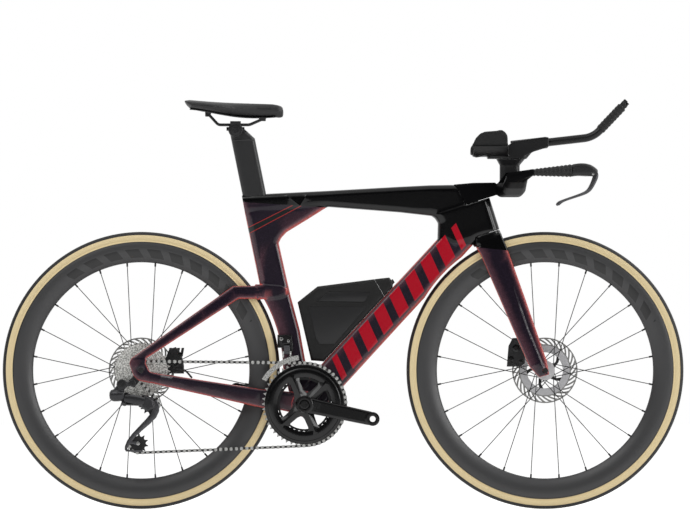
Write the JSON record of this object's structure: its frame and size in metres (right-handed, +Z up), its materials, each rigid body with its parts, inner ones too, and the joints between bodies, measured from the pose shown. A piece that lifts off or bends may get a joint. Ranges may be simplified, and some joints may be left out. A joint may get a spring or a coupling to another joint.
{
  "type": "time trial bike",
  "caption": "Time trial bike with deep rims, an aero frame with a storage box, a base bar, arm rests and extensions, disc brakes and a rear derailleur drivetrain.",
  "frame": {"origin": "on the ground, midway between the axles, in the mid-plane", "axes": "+X forward along the wheelbase, +Y to the rider's left, +Z up"},
  "size_m": [1.661, 0.4092, 0.9998],
  "materials": {
    "frame_lacquer": "two-tone lacquer over moulded carbon",
    "black_lacquer": "gloss black lacquer",
    "black_carbon": "satin carbon laminate",
    "black_anodised": "black anodised",
    "grey_composite": "moulded dark grey composite",
    "bright_steel": "plated steel",
    "black_plastic": "moulded matt plastic",
    "grip_rubber": "soft textured rubber",
    "tyre_rubber": "black tread with tan casing",
    "saddle_skin": "matt synthetic skin over foam",
    "pad_foam": "dense foam with knit face"
  },
  "bodies": {
    "frame": {"frame": "frame_lacquer", "seat_wedge_cover": "frame_lacquer", "bottom_bracket_cups": "black_anodised", "headset_bearings": "bright_steel", "derailleur_hanger": "black_anodised", "rear_thru_axle": "black_anodised", "storage_box": "black_plastic", "rear_caliper": "black_anodised", "rear_brake_pads": "bright_steel", "fd_body": "grey_composite", "rd_knuckle": "grey_composite", "chain": "bright_steel"},
    "seatpost": {"seatpost": "black_carbon"},
    "saddle_clamp": {"saddle_clamp": "black_anodised"},
    "saddle": {"saddle_shell": "black_carbon", "saddle_cover": "saddle_skin", "saddle_rails": "bright_steel"},
    "steering": {"fork": "frame_lacquer", "front_thru_axle": "black_anodised", "front_caliper": "black_anodised", "front_brake_pads": "bright_steel", "stem": "black_lacquer", "base_bar": "black_lacquer", "bar_grips": "grip_rubber", "brake_hoods": "grip_rubber", "riser_post": "black_carbon", "extension_bridge": "black_anodised", "arm_cups": "black_carbon", "arm_pads": "pad_foam"},
    "front_wheel": {"front_tyre": "tyre_rubber", "front_rim": "black_carbon", "front_spokes": "bright_steel", "front_hub": "black_anodised", "front_rotor": "bright_steel"},
    "rear_wheel": {"rear_tyre": "tyre_rubber", "rear_rim": "black_carbon", "rear_spokes": "bright_steel", "rear_hub": "black_anodised", "rear_rotor": "bright_steel"},
    "cassette": {"cassette": "bright_steel"},
    "crankset": {"crank_arm_right": "black_anodised", "crank_arm_left": "black_anodised", "chainrings": "black_anodised"},
    "rd_outer_link": {"rd_outer_link": "grey_composite"},
    "rd_inner_link": {"rd_inner_link": "grey_composite"},
    "rd_p_knuckle": {"rd_p_knuckle": "grey_composite"},
    "rd_cage": {"rd_cage": "grey_composite"},
    "guide_pulley": {"guide_pulley": "black_plastic"},
    "tension_pulley": {"tension_pulley": "black_plastic"},
    "fd_link": {"fd_link": "grey_composite"},
    "fd_cage": {"fd_cage": "bright_steel"},
    "brake_lever_right": {"brake_lever_right": "black_plastic"},
    "brake_lever_left": {"brake_lever_left": "black_plastic"},
    "extension_right": {"extension_right": "black_carbon", "extension_grip_right": "grip_rubber"},
    "extension_left": {"extension_left": "black_carbon", "extension_grip_left": "grip_rubber"},
    "shift_button_right": {"shift_button_right": "black_plastic"},
    "shift_button_left": {"shift_button_left": "black_plastic"}
  },
  "joints": [
    {"name": "steering_turn", "type": "hinge", "parent": "frame", "child": "steering", "pos_m": [0.3293, 0, 0.70595], "axis": [-0.3007, 0, 0.9537], "range_deg": [-40, 40]},
    {"name": "front_wheel_spin", "type": "hinge", "parent": "steering", "child": "front_wheel", "pos_m": [0.4925, 0, 0.338], "axis": [0, 1, 0], "continuous": true},
    {"name": "rear_wheel_spin", "type": "hinge", "parent": "frame", "child": "rear_wheel", "pos_m": [-0.4925, 0, 0.338], "axis": [0, 1, 0], "continuous": true},
    {"name": "crank_spin", "type": "hinge", "parent": "frame", "child": "crankset", "pos_m": [-0.09422, 0, 0.2552], "axis": [0, 1, 0], "continuous": true, "deforming": ["chain"]},
    {"name": "cassette_spin", "type": "hinge", "parent": "frame", "child": "cassette", "pos_m": [-0.4925, 0, 0.338], "axis": [0, 1, 0], "continuous": true},
    {"name": "rd_shift", "type": "hinge", "parent": "frame", "child": "rd_outer_link", "pos_m": [-0.5305, -0.072, 0.268], "axis": [0.2621, 0.5299, 0.8065], "range_deg": [0, 58], "deforming": ["chain"]},
    {"name": "rd_inner_swing", "type": "hinge", "parent": "frame", "child": "rd_inner_link", "pos_m": [-0.53296, -0.05928, 0.26044], "axis": [0.2621, 0.5299, 0.8065], "range_deg": [0, 58]},
    {"name": "rd_knuckle_swing", "type": "hinge", "parent": "rd_outer_link", "child": "rd_p_knuckle", "pos_m": [-0.48676, -0.09173, 0.26676], "axis": [0.2621, 0.5299, 0.8065], "range_deg": [-58, 0]},
    {"name": "rd_cage_swing", "type": "hinge", "parent": "rd_p_knuckle", "child": "rd_cage", "pos_m": [-0.471, -0.066, 0.255], "axis": [0, 1, 0], "range_deg": [-55, 20], "deforming": ["chain"]},
    {"name": "guide_pulley_spin", "type": "hinge", "parent": "rd_cage", "child": "guide_pulley", "pos_m": [-0.471, -0.066, 0.255], "axis": [0, 1, 0], "continuous": true},
    {"name": "tension_pulley_spin", "type": "hinge", "parent": "rd_cage", "child": "tension_pulley", "pos_m": [-0.49945, -0.066, 0.15986], "axis": [0, 1, 0], "continuous": true},
    {"name": "fd_shift", "type": "hinge", "parent": "frame", "child": "fd_link", "pos_m": [-0.13722, -0.0365, 0.3982], "axis": [1, 0, 0], "range_deg": [0, 21], "deforming": ["chain"]},
    {"name": "fd_cage_swing", "type": "hinge", "parent": "fd_link", "child": "fd_cage", "pos_m": [-0.13722, -0.04266, 0.38129], "axis": [1, 0, 0], "range_deg": [-21, 0]},
    {"name": "seatpost_height", "type": "slide", "parent": "frame", "child": "seatpost", "axis": [-0.1994, 0, 0.9799], "range_m": [-0.06, 0.06]},
    {"name": "saddle_tilt", "type": "hinge", "parent": "seatpost", "child": "saddle_clamp", "pos_m": [-0.26255, 0, 0.92509], "axis": [0, 1, 0], "range_deg": [-8, 8]},
    {"name": "saddle_fore_aft", "type": "slide", "parent": "saddle_clamp", "child": "saddle", "axis": [1, 0, 0], "range_m": [-0.012, 0.012]},
    {"name": "brake_lever_right_pull", "type": "hinge", "parent": "steering", "child": "brake_lever_right", "pos_m": [0.60794, -0.19, 0.81645], "axis": [0, 1, 0], "range_deg": [0, 22], "stiffness_Nm_per_rad": 0.8, "springref_deg": -17.19},
    {"name": "extension_right_reach", "type": "slide", "parent": "steering", "child": "extension_right", "axis": [0.9936, 0, 0.1132], "range_m": [0, 0.03]},
    {"name": "shift_button_right_press", "type": "slide", "parent": "extension_right", "child": "shift_button_right", "axis": [-0.6884, 0, -0.7254], "range_m": [0, 0.0012], "stiffness_N_per_m": 1500, "springref_m": -0.0008},
    {"name": "brake_lever_left_pull", "type": "hinge", "parent": "steering", "child": "brake_lever_left", "pos_m": [0.60794, 0.19, 0.81645], "axis": [0, 1, 0], "range_deg": [0, 22], "stiffness_Nm_per_rad": 0.8, "springref_deg": -17.19},
    {"name": "extension_left_reach", "type": "slide", "parent": "steering", "child": "extension_left", "axis": [0.9936, 0, 0.1132], "range_m": [0, 0.03]},
    {"name": "shift_button_left_press", "type": "slide", "parent": "extension_left", "child": "shift_button_left", "axis": [-0.6884, 0, -0.7254], "range_m": [0, 0.0012], "stiffness_N_per_m": 1500, "springref_m": -0.0008}
  ],
  "couplings": [
    {"joint": "cassette_spin", "follows": "crank_spin", "ratio": 4.5455},
    {"joint": "guide_pulley_spin", "follows": "crank_spin", "ratio": -4.5455},
    {"joint": "tension_pulley_spin", "follows": "crank_spin", "ratio": 4.5455},
    {"joint": "rd_inner_swing", "follows": "rd_shift", "ratio": 1},
    {"joint": "rd_knuckle_swing", "follows": "rd_shift", "ratio": -1},
    {"joint": "fd_cage_swing", "follows": "fd_shift", "ratio": -1}
  ]
}
